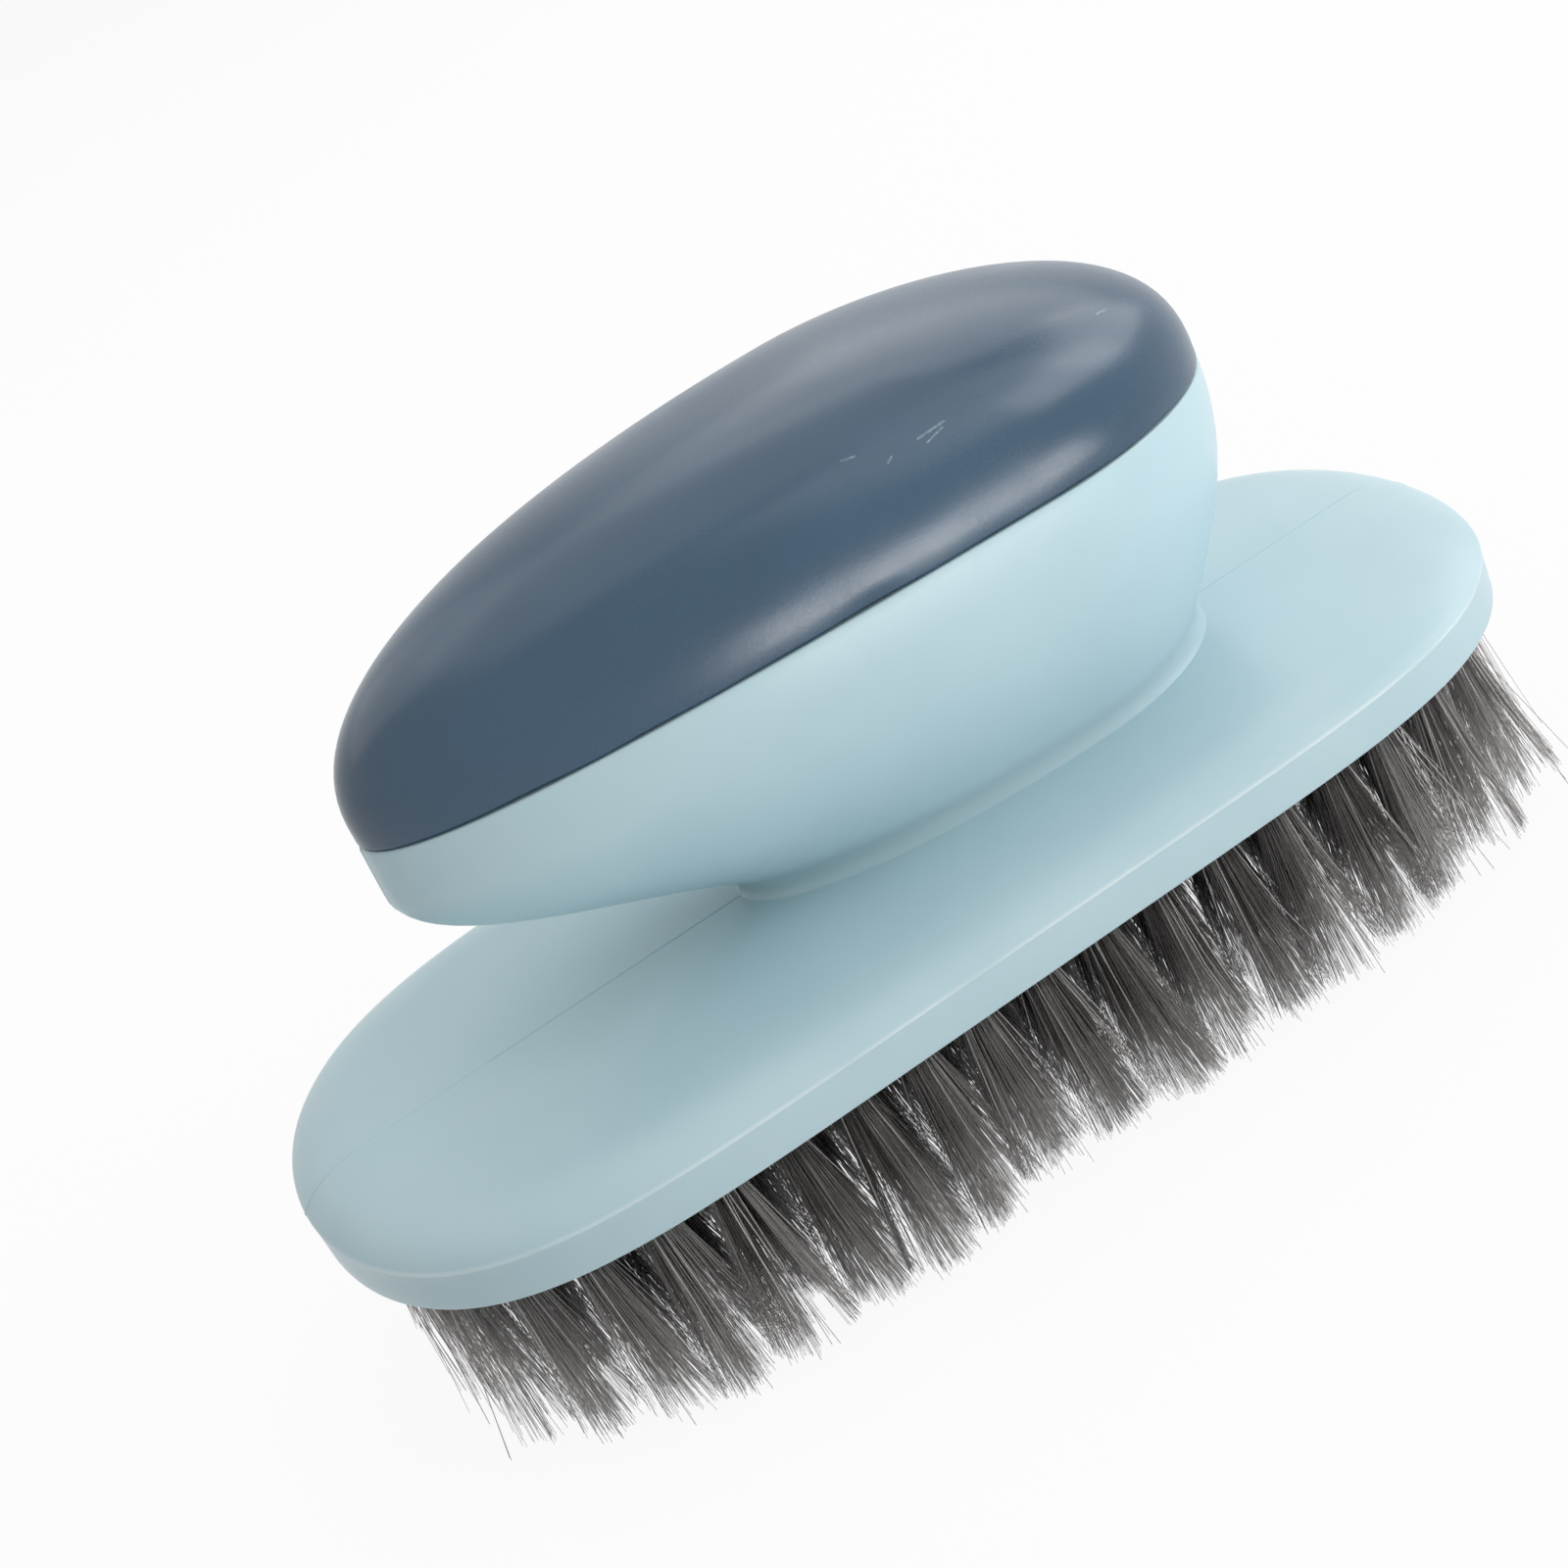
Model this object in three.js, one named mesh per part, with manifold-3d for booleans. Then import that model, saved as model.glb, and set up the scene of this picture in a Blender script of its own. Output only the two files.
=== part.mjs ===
// Hand-held laundry scrub brush. An oblong plate and the flared pedestal on it are one moulding,
// a domed grip cap is pressed into the pedestal's open top, and rings of bristle tufts hang below.
// Millimetres, +Z up, +X to the front. The bristle tips stand on z = 0, under the middle of the plate.

import * as THREE from 'three';
import Module from 'manifold-3d';
import { mergeGeometries } from 'three/addons/utils/BufferGeometryUtils.js';

// Plate
const PLATE_LENGTH = 155;
const PLATE_WIDTH = 68;
const PLATE_THICKNESS = 8.5;
const PLATE_SIDE = 5.2; // height of the upright side, below the rounded top edge
const PLATE_ROUND = 9; // how far the rounded top edge reaches in
const PLATE_END_POWER = 6; // how square the ends are: 2 is an ellipse
const PLATE_SIDE_POWER = 2;

// Pedestal. The ends of its foot and of the seam are measured from the middle of the plate.
const FOOT_FRONT = 43.5;
const FOOT_REAR = 16.5;
const FOOT_WIDEST = 24; // how far forward the foot is widest
const FOOT_WIDTH = 25.6;
const FOOT_FILLET = 2;
const PEDESTAL_HEIGHT = 32; // plate top to the middle of the seam
const PEDESTAL_BULGE = 0.5; // swell between the foot and the seam
const PEDESTAL_WALL = 2.2;
const REAR_SWEEP = 0.78; // share of the height over which the rear sweeps out to the handle's end
const REAR_CURVE = 1.5; // 1 sweeps out from the foot at once, more rises first

// Seam between the pedestal and the grip cap
const SEAM_FRONT = 55.2;
const SEAM_REAR = 52;
const SEAM_WIDEST = 26;
const SEAM_WIDTH = 43.4;
const SEAM_DROP = 2; // how much lower the seam lies at its front end

// Grip cap
const CAP_HEIGHT = 20;
const CAP_WALL = 2.2;
const CAP_FULLNESS = 2.6; // 2 is an ellipse, more is a fuller dome
const SKIRT_DEPTH = 6; // reach of the cap's skirt into the pedestal
const SKIRT_WALL = 1.4;
const BEAD_HEIGHT = 0.5; // snap bead round the skirt
const BEAD_WIDTH = 1.6;
const BEAD_DEPTH = 3.4; // middle of the bead, below the seam

// Bristles
const BRISTLE_LENGTH = 25; // free length, rim to tips
const BACKING_THICKNESS = 2.2;
const BACKING_EDGE = 2.4; // backing's edge, in from the plate's side
const RING_COUNT = 4;
const RING_EDGE = 5.5; // outermost ring of tufts, in from the plate's side
const INNER_RING_WIDTH = 9; // across the innermost ring
const TUFT_PITCH = 8;
const STRANDS_PER_TUFT = 3;
const STRAND_RADIUS = 0.7;
const STRAND_BITE = 1.2; // depth of a strand's root in the backing
const ROOT_SPREAD = 0.9; // strand roots, from the middle of their tuft
const TIP_SPREAD = 2.2; // strand tips, from the middle of their tuft
const OUTWARD_LEAN = 1.5; // tips of the outermost ring, out from their roots
const TIP_TRIM = 0.5; // what the flat trim takes off the tips

// Fits and smoothness
const SEAT_GAP = 0.3; // between pieces that touch
const OUTLINE_STEPS = 64;
const ROUND_STEPS = 6;
const SIDE_STEPS = 9;
const DOME_STEPS = 9;

const RIM_Z = BRISTLE_LENGTH;
const PLATE_TOP_Z = RIM_Z + PLATE_THICKNESS;
const SEAM_Z = PLATE_TOP_Z + PEDESTAL_HEIGHT;
const MOUTH_DEPTH = SKIRT_DEPTH + SEAT_GAP;
const PAST = 1; // how far a cutting body runs past the face that it opens

const PLATE_COLOUR = 0xb5d6da;
const CAP_COLOUR = 0x33475a;
const BRISTLE_COLOUR = 0x8a8684;

const wasm = await Module();
wasm.setup();

// Closed outline of two halves that meet where it is widest, each |x/a|^p + |y/b|^q = 1.
// It is drawn in from its full size by inset.
function oblong({ front, rear, widest = 0, width, powers = [2, 2] }, inset = 0, steps = OUTLINE_STEPS) {
  const b = width / 2 - inset;
  const points = [];
  for (let i = 0; i < steps; i += 1) {
    const angle = (2 * Math.PI * i) / steps;
    const c = Math.cos(angle);
    const s = Math.sin(angle);
    const a = c > 0 ? front - inset - widest : rear - inset + widest;
    const x = widest + a * Math.sign(c) * Math.abs(c) ** (2 / powers[0]);
    const y = b * Math.sign(s) * Math.abs(s) ** (2 / powers[1]);
    points.push(new THREE.Vector2(x, y));
  }
  return points;
}

const PLATE = {
  front: PLATE_LENGTH / 2,
  rear: PLATE_LENGTH / 2,
  width: PLATE_WIDTH,
  powers: [PLATE_END_POWER, PLATE_SIDE_POWER],
};
const SEAM = { front: SEAM_FRONT, rear: SEAM_REAR, widest: SEAM_WIDEST, width: SEAM_WIDTH };

const plateOutline = (inset, steps) => oblong(PLATE, inset, steps);

const seamOutline = (inset) => oblong(SEAM, inset);

// A ring of points over an outline, at a height that may vary with x.
function ring(outline, height) {
  const z = typeof height === 'function' ? height : () => height;
  return outline.map((p) => new THREE.Vector3(p.x, p.y, z(p.x)));
}

// Height of the seam over the length of the handle.
const seamZ = (x) => SEAM_Z - SEAM_DROP * (x / SEAM_FRONT) ** 2;

// Closed skin over rings of equal count, listed upward, with a flat fan over each end.
function loft(rings, topZ = null) {
  const count = rings[0].length;
  const vertices = rings.flat();
  const index = [];
  for (let r = 0; r + 1 < rings.length; r += 1) {
    for (let i = 0; i < count; i += 1) {
      const j = (i + 1) % count;
      const low = r * count;
      const high = low + count;
      index.push(low + i, low + j, high + j);
      index.push(low + i, high + j, high + i);
    }
  }
  const middle = (points) => points
    .reduce((sum, p) => sum.add(p), new THREE.Vector3())
    .divideScalar(points.length);
  const bottom = vertices.push(middle(rings[0])) - 1;
  const top = vertices.push(middle(rings.at(-1))) - 1;
  if (topZ !== null) {
    vertices[top].z = topZ;
  }
  const last = (rings.length - 1) * count;
  for (let i = 0; i < count; i += 1) {
    const j = (i + 1) % count;
    index.push(bottom, j, i);
    index.push(top, last + i, last + j);
  }
  const geometry = new THREE.BufferGeometry().setFromPoints(vertices);
  geometry.setIndex(index);
  return geometry;
}

function solid(geometry) {
  return new wasm.Manifold(new wasm.Mesh({
    numProp: 3,
    vertProperties: Float32Array.from(geometry.attributes.position.array),
    triVerts: Uint32Array.from(geometry.index.array),
  }));
}

function part(name, body, colour, roughness) {
  const mesh = body.getMesh();
  const geometry = new THREE.BufferGeometry();
  geometry.setAttribute('position', new THREE.BufferAttribute(mesh.vertProperties, 3));
  geometry.setIndex(new THREE.BufferAttribute(mesh.triVerts, 1));
  geometry.computeVertexNormals();
  const material = new THREE.MeshStandardMaterial({ color: colour, roughness, metalness: 0 });
  const result = new THREE.Mesh(geometry, material);
  result.name = name;
  return result;
}

// Upright sides, then a quarter round up to the flat top.
function plate() {
  const rings = [ring(plateOutline(0), RIM_Z)];
  for (let i = 0; i <= ROUND_STEPS; i += 1) {
    const turn = (Math.PI / 2) * (i / ROUND_STEPS);
    const inset = PLATE_ROUND * (1 - Math.cos(turn));
    const rise = (PLATE_THICKNESS - PLATE_SIDE) * Math.sin(turn);
    rings.push(ring(plateOutline(inset), RIM_Z + PLATE_SIDE + rise));
  }
  return solid(loft(rings));
}

// Outline of the pedestal at a share of its height: 0 at the foot, 1 at the seam. Its rear end
// sweeps back under the handle.
function pedestalOutline(share, inset) {
  const flare = Math.sin((Math.PI / 2) * share);
  const sweep = Math.sin((Math.PI / 2) * Math.min(1, share / REAR_SWEEP)) ** REAR_CURVE;
  const swell = PEDESTAL_BULGE * Math.sin(Math.PI * share);
  const between = (foot, seam, part) => foot + (seam - foot) * part;
  return oblong({
    front: between(FOOT_FRONT, SEAM_FRONT, flare) + swell,
    rear: between(FOOT_REAR, SEAM_REAR, sweep) + swell,
    widest: between(FOOT_WIDEST, SEAM_WIDEST, flare),
    width: between(FOOT_WIDTH, SEAM_WIDTH, flare) + 2 * swell,
  }, inset);
}

const pedestalZ = (share) => (x) => PLATE_TOP_Z + share * (seamZ(x) - PLATE_TOP_Z);

// Flared walls rising from a fillet that runs out onto the plate.
function pedestal() {
  const fillet = Math.min(FOOT_FILLET, PEDESTAL_HEIGHT / 4);
  const rings = [ring(pedestalOutline(0, -fillet), PLATE_TOP_Z - (PLATE_THICKNESS - PLATE_SIDE) / 2)];
  for (let i = 0; i < ROUND_STEPS / 2; i += 1) {
    const turn = (Math.PI / 2) * (i / (ROUND_STEPS / 2));
    const share = (fillet * (1 - Math.cos(turn))) / PEDESTAL_HEIGHT;
    rings.push(ring(pedestalOutline(share, -fillet * (1 - Math.sin(turn))), pedestalZ(share)));
  }
  const first = fillet / PEDESTAL_HEIGHT;
  for (let i = 0; i <= SIDE_STEPS; i += 1) {
    const share = first + (1 - first) * (i / SIDE_STEPS);
    rings.push(ring(pedestalOutline(share, 0), pedestalZ(share)));
  }
  return solid(loft(rings));
}

// Hollow of the pedestal: its own shape less the wall, then a straight mouth with the bead's groove.
// It is raised towards its floor, so that the wall keeps its thickness where the rear sweeps out.
function pedestalHollow() {
  const rings = [];
  for (let i = 0; i <= SIDE_STEPS; i += 1) {
    const share = i / SIDE_STEPS;
    const z = (x) => pedestalZ(share)(x) + PEDESTAL_WALL * (1 - share);
    rings.push(ring(pedestalOutline(share, PEDESTAL_WALL), z));
  }
  const below = (depth) => (x) => seamZ(x) - depth;
  const mouth = [
    ring(seamOutline(PEDESTAL_WALL), below(MOUTH_DEPTH)),
    ring(seamOutline(PEDESTAL_WALL), below(-PAST)),
  ];
  const half = BEAD_WIDTH / 2 + SEAT_GAP;
  const groove = [
    ring(seamOutline(PEDESTAL_WALL + SEAT_GAP), below(BEAD_DEPTH + half)),
    ring(seamOutline(PEDESTAL_WALL - BEAD_HEIGHT), below(BEAD_DEPTH)),
    ring(seamOutline(PEDESTAL_WALL + SEAT_GAP), below(BEAD_DEPTH - half)),
  ];
  return solid(loft(rings)).add(solid(loft(mouth))).add(solid(loft(groove)));
}

// Recess below the plate that the bristles' backing sits in.
function backingRecess() {
  const outline = plateOutline(BACKING_EDGE - SEAT_GAP);
  const top = RIM_Z + BACKING_THICKNESS + SEAT_GAP;
  return solid(loft([ring(outline, RIM_Z - PAST), ring(outline, top)]));
}

function brushBody() {
  return plate().add(pedestal()).subtract(pedestalHollow()).subtract(backingRecess());
}

// Dome over the seam. Its own inset and height serve both the outside and the hollow inside.
function domeRings(inset, height, lift) {
  const rings = [];
  for (let i = 0; i < DOME_STEPS; i += 1) {
    const turn = (Math.PI / 2) * (i / DOME_STEPS);
    const shrink = Math.cos(turn) ** (2 / CAP_FULLNESS);
    const rise = height * Math.sin(turn) ** (2 / CAP_FULLNESS);
    const outline = seamOutline(inset).map((p) => p.multiplyScalar(shrink));
    rings.push(ring(outline, (x) => seamZ(x) + lift + rise));
  }
  return rings;
}

function gripCap() {
  const dome = loft(domeRings(0, CAP_HEIGHT - SEAT_GAP, SEAT_GAP), SEAM_Z + CAP_HEIGHT);

  const skirtInset = PEDESTAL_WALL + SEAT_GAP;
  const below = (depth) => (x) => seamZ(x) - depth;
  const skirt = [
    ring(seamOutline(skirtInset), below(SKIRT_DEPTH)),
    ring(seamOutline(skirtInset), below(BEAD_DEPTH + BEAD_WIDTH / 2)),
    ring(seamOutline(skirtInset - BEAD_HEIGHT), below(BEAD_DEPTH)),
    ring(seamOutline(skirtInset), below(BEAD_DEPTH - BEAD_WIDTH / 2)),
    ring(seamOutline(skirtInset), below(-SEAT_GAP - PAST)),
  ];

  const hollowInset = skirtInset + SKIRT_WALL;
  const roof = CAP_HEIGHT - CAP_WALL;
  const hollow = [
    ring(seamOutline(hollowInset), below(SKIRT_DEPTH + PAST)),
    ...domeRings(hollowInset, roof, 0),
  ];
  return solid(dome).add(solid(loft(skirt))).subtract(solid(loft(hollow, SEAM_Z + roof)));
}

// Evenly spaced tufts along an outline, each with the direction that faces out of the brush.
function tuftsAlong(outline) {
  const curve = new THREE.CatmullRomCurve3(ring(outline, 0), true, 'chordal');
  curve.arcLengthDivisions = 4 * outline.length;
  const count = Math.round(curve.getLength() / TUFT_PITCH);
  const tufts = [];
  for (let i = 0; i < count; i += 1) {
    const along = curve.getTangentAt(i / count);
    const out = new THREE.Vector2(along.y, -along.x);
    const middle = curve.getPointAt(i / count);
    tufts.push({ middle: new THREE.Vector2(middle.x, middle.y), out });
  }
  return tufts;
}

// One straight strand of three sides, from its root in the backing to below the trimmed tips.
function strand(root, tip) {
  const section = (middle, z) => {
    const points = [];
    for (let i = 0; i < 3; i += 1) {
      const angle = (2 * Math.PI * i) / 3;
      const x = middle.x + STRAND_RADIUS * Math.cos(angle);
      const y = middle.y + STRAND_RADIUS * Math.sin(angle);
      points.push(new THREE.Vector3(x, y, z));
    }
    return points;
  };
  return loft([section(tip, -TIP_TRIM), section(root, RIM_Z + STRAND_BITE)]);
}

function tuftStrands({ middle, out }, lean) {
  const facing = out.angle();
  const strands = [];
  for (let i = 0; i < STRANDS_PER_TUFT; i += 1) {
    const angle = facing + (2 * Math.PI * (i + 0.5)) / STRANDS_PER_TUFT;
    const side = new THREE.Vector2(Math.cos(angle), Math.sin(angle));
    const root = middle.clone().addScaledVector(side, ROOT_SPREAD);
    const tip = middle.clone().addScaledVector(side, TIP_SPREAD).addScaledVector(out, lean);
    strands.push(strand(root, tip));
  }
  return strands;
}

// The rings of tufts lie evenly between the outermost and the innermost.
const RING_PITCH = (PLATE_WIDTH / 2 - RING_EDGE - INNER_RING_WIDTH / 2) / (RING_COUNT - 1);

// A band of backing with one ring of tufts, trimmed flat at the tips. The innermost band has no hole.
function bristleRing(i) {
  const slab = (edge, low, high) => {
    const outline = plateOutline(edge);
    return solid(loft([ring(outline, low), ring(outline, high)]));
  };
  const inset = RING_EDGE + i * RING_PITCH;
  const outer = i === 0 ? BACKING_EDGE : inset - RING_PITCH / 2 + SEAT_GAP / 2;
  const top = RIM_Z + BACKING_THICKNESS;
  let band = slab(outer, RIM_Z, top);
  if (i + 1 < RING_COUNT) {
    band = band.subtract(slab(inset + RING_PITCH / 2 - SEAT_GAP / 2, RIM_Z - PAST, top + PAST));
  }
  const lean = OUTWARD_LEAN * (1 - i / RING_COUNT);
  const tufts = tuftsAlong(plateOutline(inset, 4 * OUTLINE_STEPS));
  const strands = solid(mergeGeometries(tufts.flatMap((tuft) => tuftStrands(tuft, lean))));
  const trim = slab(0, -PAST, 0);
  return band.add(strands.subtract(trim));
}

const brush = new THREE.Group();
brush.add(part('brush_body', brushBody(), PLATE_COLOUR, 0.45));
brush.add(part('grip_cap', gripCap(), CAP_COLOUR, 0.4));
for (let i = 0; i < RING_COUNT; i += 1) {
  brush.add(part(`bristle_ring_${i + 1}`, bristleRing(i), BRISTLE_COLOUR, 0.5));
}

export default brush;
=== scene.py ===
"""Looks of a hand-held laundry scrub brush: pale plate and pedestal, dark grip cap, grey bristle tufts."""

import bmesh
import bpy
import numpy as np
from mathutils import Matrix, Vector
from mathutils.geometry import delaunay_2d_cdt


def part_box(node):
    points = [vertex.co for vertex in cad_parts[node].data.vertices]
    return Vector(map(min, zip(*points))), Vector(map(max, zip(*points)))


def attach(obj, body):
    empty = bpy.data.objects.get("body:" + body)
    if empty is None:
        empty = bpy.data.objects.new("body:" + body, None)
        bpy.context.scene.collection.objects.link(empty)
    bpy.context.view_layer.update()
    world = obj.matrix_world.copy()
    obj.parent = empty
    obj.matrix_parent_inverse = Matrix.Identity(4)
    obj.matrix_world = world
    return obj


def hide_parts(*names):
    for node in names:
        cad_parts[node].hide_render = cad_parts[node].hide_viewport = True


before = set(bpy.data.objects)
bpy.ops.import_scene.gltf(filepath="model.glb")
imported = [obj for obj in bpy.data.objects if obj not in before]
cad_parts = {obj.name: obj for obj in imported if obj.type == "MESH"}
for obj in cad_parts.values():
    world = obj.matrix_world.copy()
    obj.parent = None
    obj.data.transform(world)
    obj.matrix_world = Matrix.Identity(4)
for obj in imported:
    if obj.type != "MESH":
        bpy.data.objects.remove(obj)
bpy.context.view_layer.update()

MM = 0.001
RNG = np.random.RandomState(7)

# Sizes in millimetres. Overall sizes come from the frame. The others repeat the part's own values, or shape
# what is finer here than in the part.
body_low, body_high = (np.array(corner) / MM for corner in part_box("brush_body"))
cap_low, cap_high = (np.array(corner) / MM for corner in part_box("grip_cap"))
PLATE_LENGTH, PLATE_WIDTH = body_high[0] - body_low[0], body_high[1] - body_low[1]
SEAM_FRONT, SEAM_REAR, SEAM_WIDTH = cap_high[0], -cap_low[0], cap_high[1] - cap_low[1]
RIM_Z, SEAM_Z, TOP_Z = body_low[2], body_high[2], cap_high[2]

PLATE_THICKNESS = 8.5
PLATE_SIDE = 5.2
PLATE_ROUND = 9.0
PLATE_POWERS = (6.0, 2.0)
PLATE_EDGE = 0.4  # radius of the plate's lower edge
SHOULDER = 0.3  # length of the soft edge between the plate's side and its crown
SHOULDER_BEAD = 0.12  # how far the mould's parting line stands out there
EDGE_HIGHLIGHT_REACH = 0.28  # half the width of the painted highlight, a pale line along that edge
CROWN_START = 24.0  # degrees, where the crown's arc leaves the side
FOOT_FRONT, FOOT_REAR, FOOT_WIDTH = 43.5, 16.5, 25.6
FOOT_WIDEST, SEAM_WIDEST = 24.0, 26.0  # how far forward the handle is widest
REAR_SWEEP, REAR_CURVE = 0.78, 1.5  # how the rear sweeps out from the foot to the handle's end
FOOT_REACH, FOOT_RISE = 2.2, 3.4  # sweep round the pedestal's foot
PEDESTAL_BULGE = 0.5
PEDESTAL_WALL = 2.2
HANDLE_POWERS = (2.0, 2.0)
SEAM_DROP = 2.0
SEAM_GAP = 0.3
SEAM_EDGE = 0.3  # radius of both edges that meet at the seam
SEAM_WAVE = 0.06  # unevenness of the cap's moulded edge
SEAM_WAVES = ((7, 0.4), (12, 2.0), (19, 0.0))  # how many go round the edge, and where each starts
CAP_FULLNESS = 2.6
CAP_WALL = 2.2
SKIRT_DEPTH = 6.0
SKIRT_WALL = 1.4
BEAD_HEIGHT, BEAD_WIDTH, BEAD_DEPTH = 0.5, 1.6, 3.4
WITNESS_WIDTH, WITNESS_HEIGHT = 0.4, 0.09  # fine ridge that the mould's halves leave
WITNESS_SINK = 0.02  # how far its base lies in the plastic

RING_COUNT = 4
RING_EDGE = 5.5
INNER_RING_WIDTH = 9.0
TUFT_PITCH = 8.0
HOLE_RADIUS, HOLE_DEPTH, HOLE_CHAMFER = 1.9, 5.6, 0.25
HOLE_SIDES = 20
ANCHOR = (3.4, 0.45, 1.6)  # flat wire: across the hole, thick, along the hole
ANCHOR_BEVEL, ANCHOR_CLEARANCE = 0.12, 0.1

FILAMENTS = (300, 320, 280, 220)  # in a tuft of each ring, outermost first
RING_SHADE_TONES = (1.0, 0.4, 0.25, 0.2)  # of each ring's filaments, the inner rings darker with painted shade
FILAMENT_RADIUS, FILAMENT_TAPER = 0.066, 0.45  # at the root, and the tip's share of it
STRAY_RADIUS = 0.1
BUNCHES = 6  # in a tuft, which part towards its tips
BUNCH_SCATTER, STRAY_SCATTER = 0.45, 0.8  # of the bunches and of strays, as a share of their tuft
BUNCH_SPREAD = 0.22  # of a bunch, as a share of its tuft
STRAYS = 0.05  # share of the filaments that leave their bunch, paler than the rest
ROOT_RADIUS = 1.4  # bundle of roots in a hole
ROOT_SINK = 1.6  # how deep the roots start in the hole
TIP_RADIUS = 5.1  # bundle of tips
TIP_WANDER, STRAY_WANDER, WANDER_LIMIT = 0.25, 5, 2.5  # of a tip, times more for a stray, and at most
TRIM, TIP_DOMING, TIP_UNEVENNESS = 0.1, 1.2, 0.8  # how much shorter the filaments are trimmed
LEAST_DROP = 10.0  # of a filament that lies over
OUTWARD_LEAN = 1.4  # of the outermost tips
TUFT_SET = 2.2  # forward lean that the tips have taken on in use
SET_FADE = 4  # power by which it fades to the front end
TUFT_SWAY = 0.5
FILAMENT_BOW, SPLAY_CURVE = 0.3, 1.1
TONE_SHAPE, TONE_SCATTER = (1.5, 5.0), 0.04  # of the bunches' tones, mostly dark, and within a bunch
STRAY_TONE = 0.8  # the least one
END_PAINTED_LIGHT, END_THINNING = 0.8, 0.7  # of the tufts at the two ends: painted light that makes them paler, and how much thinner they are
END_POWER = 6  # how suddenly the ends begin
STATIONS = (0.5, 1.0)  # points down a filament below its root

# Moulded plastic: features to a millimetre, heights in millimetres, the rest are shares and roughness
DRIFT_SCALE, GRAIN_SCALE, SMUDGE_SCALE, EDGE_HIGHLIGHT_SCALE = 0.045, 3.0, 0.11, 0.04
GRAIN_HEIGHT = 0.008
GRAIN_ROUGHNESS, SMUDGE_ROUGHNESS = 0.03, 0.04
# how bright the painted highlight along the plate's shoulder is, between its patches
EDGE_HIGHLIGHT_STRENGTH = (0.12, 0.62)
STROKE_STRENGTH = (0.25, 0.9)
STROKE_CORE = 0.4  # share of a stroke's width that is fully marked
SCRATCHES = (  # x and rise of both ends on the cap's near flank, and width
    (15.4, 12.5, 18.8, 12.7, 0.15),
    (16.0, 11.8, 18.2, 12.3, 0.12),
    (7.6, 14.1, 9.0, 13.9, 0.14),
    (11.5, 12.0, 12.1, 12.3, 0.15),
    (41.0, 12.4, 42.4, 12.1, 0.15),
)

# Floor and lamps, in metres and watts
FLOOR_HALF = 6.0
FLOOR_GREY, FLOOR_GLOW = 0.86, 0.92  # what it reflects, and how far it is plain white where it is seen
WORLD = 0.3  # strength of the light from all round, which is 1 where it is seen
MIDDLE = (0.0, 0.0, 0.045)
LAMPS = (  # name, place, aim, size and power
    ("key", (0.49, -0.59, 0.60), MIDDLE, (0.9, 0.7), 1.7),
    ("key_low", (0.72, -0.50, 0.44), MIDDLE, (0.85, 0.36), 1.5),
    ("right_side", (0.85, -0.03, 0.46), MIDDLE, (0.8, 0.5), 2.3),
    ("back_right", (0.475, 0.475, 0.717), MIDDLE, (0.8, 0.8), 2.0),
    ("back_left", (-0.475, 0.475, 0.717), MIDDLE, (0.8, 0.8), 1.0),
    ("top", (0.0, 0.0, 1.1), MIDDLE, (1.2, 1.2), 2.5),
    ("low_front", (0.07, -0.19, 0.004), (0.07, -0.19, 1.0), (0.18, 0.09), 0.35),
)

# Camera, in millimetres
CAMERA_AT = (-63.6, -233.4, 172.4)
CAMERA_AIM = (-8.36, 0.0, 42.47)
CAMERA_ROLL = -26.67  # degrees, the photograph's tilt
CAMERA_LENS, CAMERA_SENSOR = 56.0, 36.0

PLATE_TOP_Z = RIM_Z + PLATE_THICKNESS
PEDESTAL_HEIGHT = SEAM_Z - PLATE_TOP_Z
CAP_HEIGHT = TOP_Z - SEAM_Z
CAP_LIFT = SEAM_GAP + SEAM_EDGE  # of the dome's lowest ring above the seam
RING_PITCH = (PLATE_WIDTH / 2 - RING_EDGE - INNER_RING_WIDTH / 2) / (RING_COUNT - 1)
AROUND = 320  # points round an outline
CROWN_STEPS, PEDESTAL_STEPS, HOLLOW_STEPS = 40, 28, 12
CAP_INSIDE_STEPS, DOME_STEPS = 16, 44
DOME_SPACING = 1.5  # power that evens out the dome's rings near its top
OUTLINE_STEPS = 4096  # to measure along an outline
PITCH_STEPS = 40  # between tufts, to measure the direction of their ring
QUARTER = np.linspace(0, np.pi / 2, 5)  # turn of a small rounded edge
WELD = 0.0005  # vertices this close are one
CREASE = 35.0  # degrees, above which an edge shades sharp


def srgb(red, green, blue):
    """Linear colour of an sRGB one, each 0 to 255."""
    c = np.array([red, green, blue]) / 255
    return (*np.where(c <= 0.04045, c / 12.92, ((c + 0.055) / 1.055) ** 2.4), 1.0)


# Outlines and lofts

def oblong(front, rear, widest, width, powers, inset=0.0, count=AROUND):
    """Points spaced evenly along two halves of |x/a|^p + |y/b|^q = 1 that meet at the widest place."""
    turn = np.linspace(0, 2 * np.pi, OUTLINE_STEPS + 1)
    c, s = np.cos(turn), np.sin(turn)
    reach = np.where(c > 0, front - inset - widest, rear - inset + widest)
    x = widest + reach * np.sign(c) * np.abs(c) ** (2 / powers[0])
    y = (width / 2 - inset) * np.sign(s) * np.abs(s) ** (2 / powers[1])
    arc = np.concatenate([[0], np.cumsum(np.hypot(np.diff(x), np.diff(y)))])
    at = np.arange(count) / count * arc[-1]
    return np.stack([np.interp(at, arc, x), np.interp(at, arc, y)], 1), arc[-1]


def plate_oblong(inset, count=AROUND):
    return oblong(PLATE_LENGTH / 2, PLATE_LENGTH / 2, 0.0, PLATE_WIDTH, PLATE_POWERS, inset, count)


def plate_outline(inset):
    return plate_oblong(inset)[0]


def seam_outline(inset):
    return oblong(SEAM_FRONT, SEAM_REAR, SEAM_WIDEST, SEAM_WIDTH, HANDLE_POWERS, inset)[0]


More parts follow.
